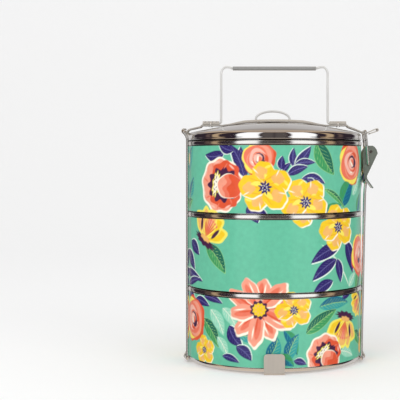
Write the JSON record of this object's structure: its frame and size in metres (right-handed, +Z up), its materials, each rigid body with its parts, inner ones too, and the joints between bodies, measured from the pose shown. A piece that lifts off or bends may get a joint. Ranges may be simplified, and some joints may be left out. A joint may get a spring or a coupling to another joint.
{
  "type": "tiffin carrier",
  "caption": "Stacked round steel lunch tiers with a domed lid, held between wire side loops by a top strap with a folding carrying handle and a lever latch.",
  "frame": {"origin": "on the stack's axis, on the underside of the base cross where it stands", "axes": "+Z up the stack, +X towards the latch, -Y towards the front tab"},
  "size_m": [0.1583, 0.1432, 0.2352],
  "materials": {
    "printed_steel": "glossy mint ground with a floral print, bare steel at the rims",
    "mirror_steel": "mirror polished",
    "satin_steel": "satin",
    "polished_steel": "bright drawn wire and sheet"
  },
  "bodies": {
    "base": {"base_strap_side_to_side": "polished_steel", "base_strap_front_to_back": "satin_steel", "base_rivet_left": "polished_steel", "base_rivet_right": "polished_steel"},
    "tier_1": {"tier_1_bowl": "printed_steel"},
    "tier_2": {"tier_2_bowl": "printed_steel"},
    "tier_3": {"tier_3_bowl": "printed_steel"},
    "lid": {"lid_shell": "mirror_steel", "lid_loop_clip": "polished_steel"},
    "lid_loop": {"lid_loop": "polished_steel"},
    "left_loop": {"left_loop_wire": "polished_steel"},
    "strap": {"top_strap": "satin_steel", "handle_clip_left": "satin_steel", "handle_clip_right": "satin_steel", "handle_clip_left_rivet_front": "polished_steel", "handle_clip_left_rivet_back": "polished_steel", "handle_clip_right_rivet_front": "polished_steel", "handle_clip_right_rivet_back": "polished_steel"},
    "handle": {"handle_wire": "polished_steel", "handle_grip": "satin_steel"},
    "right_loop": {"right_loop_wire": "polished_steel"},
    "lever": {"latch_lever": "polished_steel"},
    "link": {"latch_link": "polished_steel"}
  },
  "joints": [
    {"name": "left_loop_swing", "type": "hinge", "parent": "base", "child": "left_loop", "pos_m": [-0.0704, 0, 0.0024], "axis": [0, -1, 0], "range_deg": [0, 85]},
    {"name": "tier_1_lift", "type": "slide", "parent": "base", "child": "tier_1", "axis": [0, 0, 1], "range_m": [0, 0.015]},
    {"name": "tier_2_lift", "type": "slide", "parent": "tier_1", "child": "tier_2", "axis": [0, 0, 1], "range_m": [0, 0.015]},
    {"name": "tier_3_lift", "type": "slide", "parent": "tier_2", "child": "tier_3", "axis": [0, 0, 1], "range_m": [0, 0.015]},
    {"name": "lid_lift", "type": "slide", "parent": "tier_3", "child": "lid", "axis": [0, 0, 1], "range_m": [0, 0.015]},
    {"name": "lid_loop_fold", "type": "hinge", "parent": "lid", "child": "lid_loop", "pos_m": [-0.0014, 0.0115, 0.19007], "axis": [-1, 0, 0], "range_deg": [0, 88]},
    {"name": "strap_swing", "type": "hinge", "parent": "left_loop", "child": "strap", "pos_m": [-0.0722, 0, 0.1823], "axis": [0, -1, 0], "range_deg": [0, 95]},
    {"name": "handle_fold", "type": "hinge", "parent": "strap", "child": "handle", "pos_m": [0, 0, 0.18876], "axis": [1, 0, 0], "range_deg": [-86, 86]},
    {"name": "right_loop_swing", "type": "hinge", "parent": "base", "child": "right_loop", "pos_m": [0.0704, 0, 0.0024], "axis": [0, 1, 0], "range_deg": [0, 80]},
    {"name": "lever_open", "type": "hinge", "parent": "right_loop", "child": "lever", "pos_m": [0.0769, 0, 0.166], "axis": [0, -1, 0], "range_deg": [0, 140], "deforming": ["latch_link"]},
    {"name": "link_swing", "type": "hinge", "parent": "lever", "child": "link", "pos_m": [0.075, 0, 0.1558], "axis": [0, -1, 0], "range_deg": [-112, 0]}
  ],
  "couplings": [
    {"joint": "tier_1_lift", "follows": "left_loop_swing", "m_per_rad": 0.01},
    {"joint": "tier_2_lift", "follows": "left_loop_swing", "m_per_rad": 0.01},
    {"joint": "tier_3_lift", "follows": "left_loop_swing", "m_per_rad": 0.01},
    {"joint": "lid_lift", "follows": "left_loop_swing", "m_per_rad": 0.01},
    {"joint": "link_swing", "follows": "lever_open", "ratio": -0.8}
  ]
}
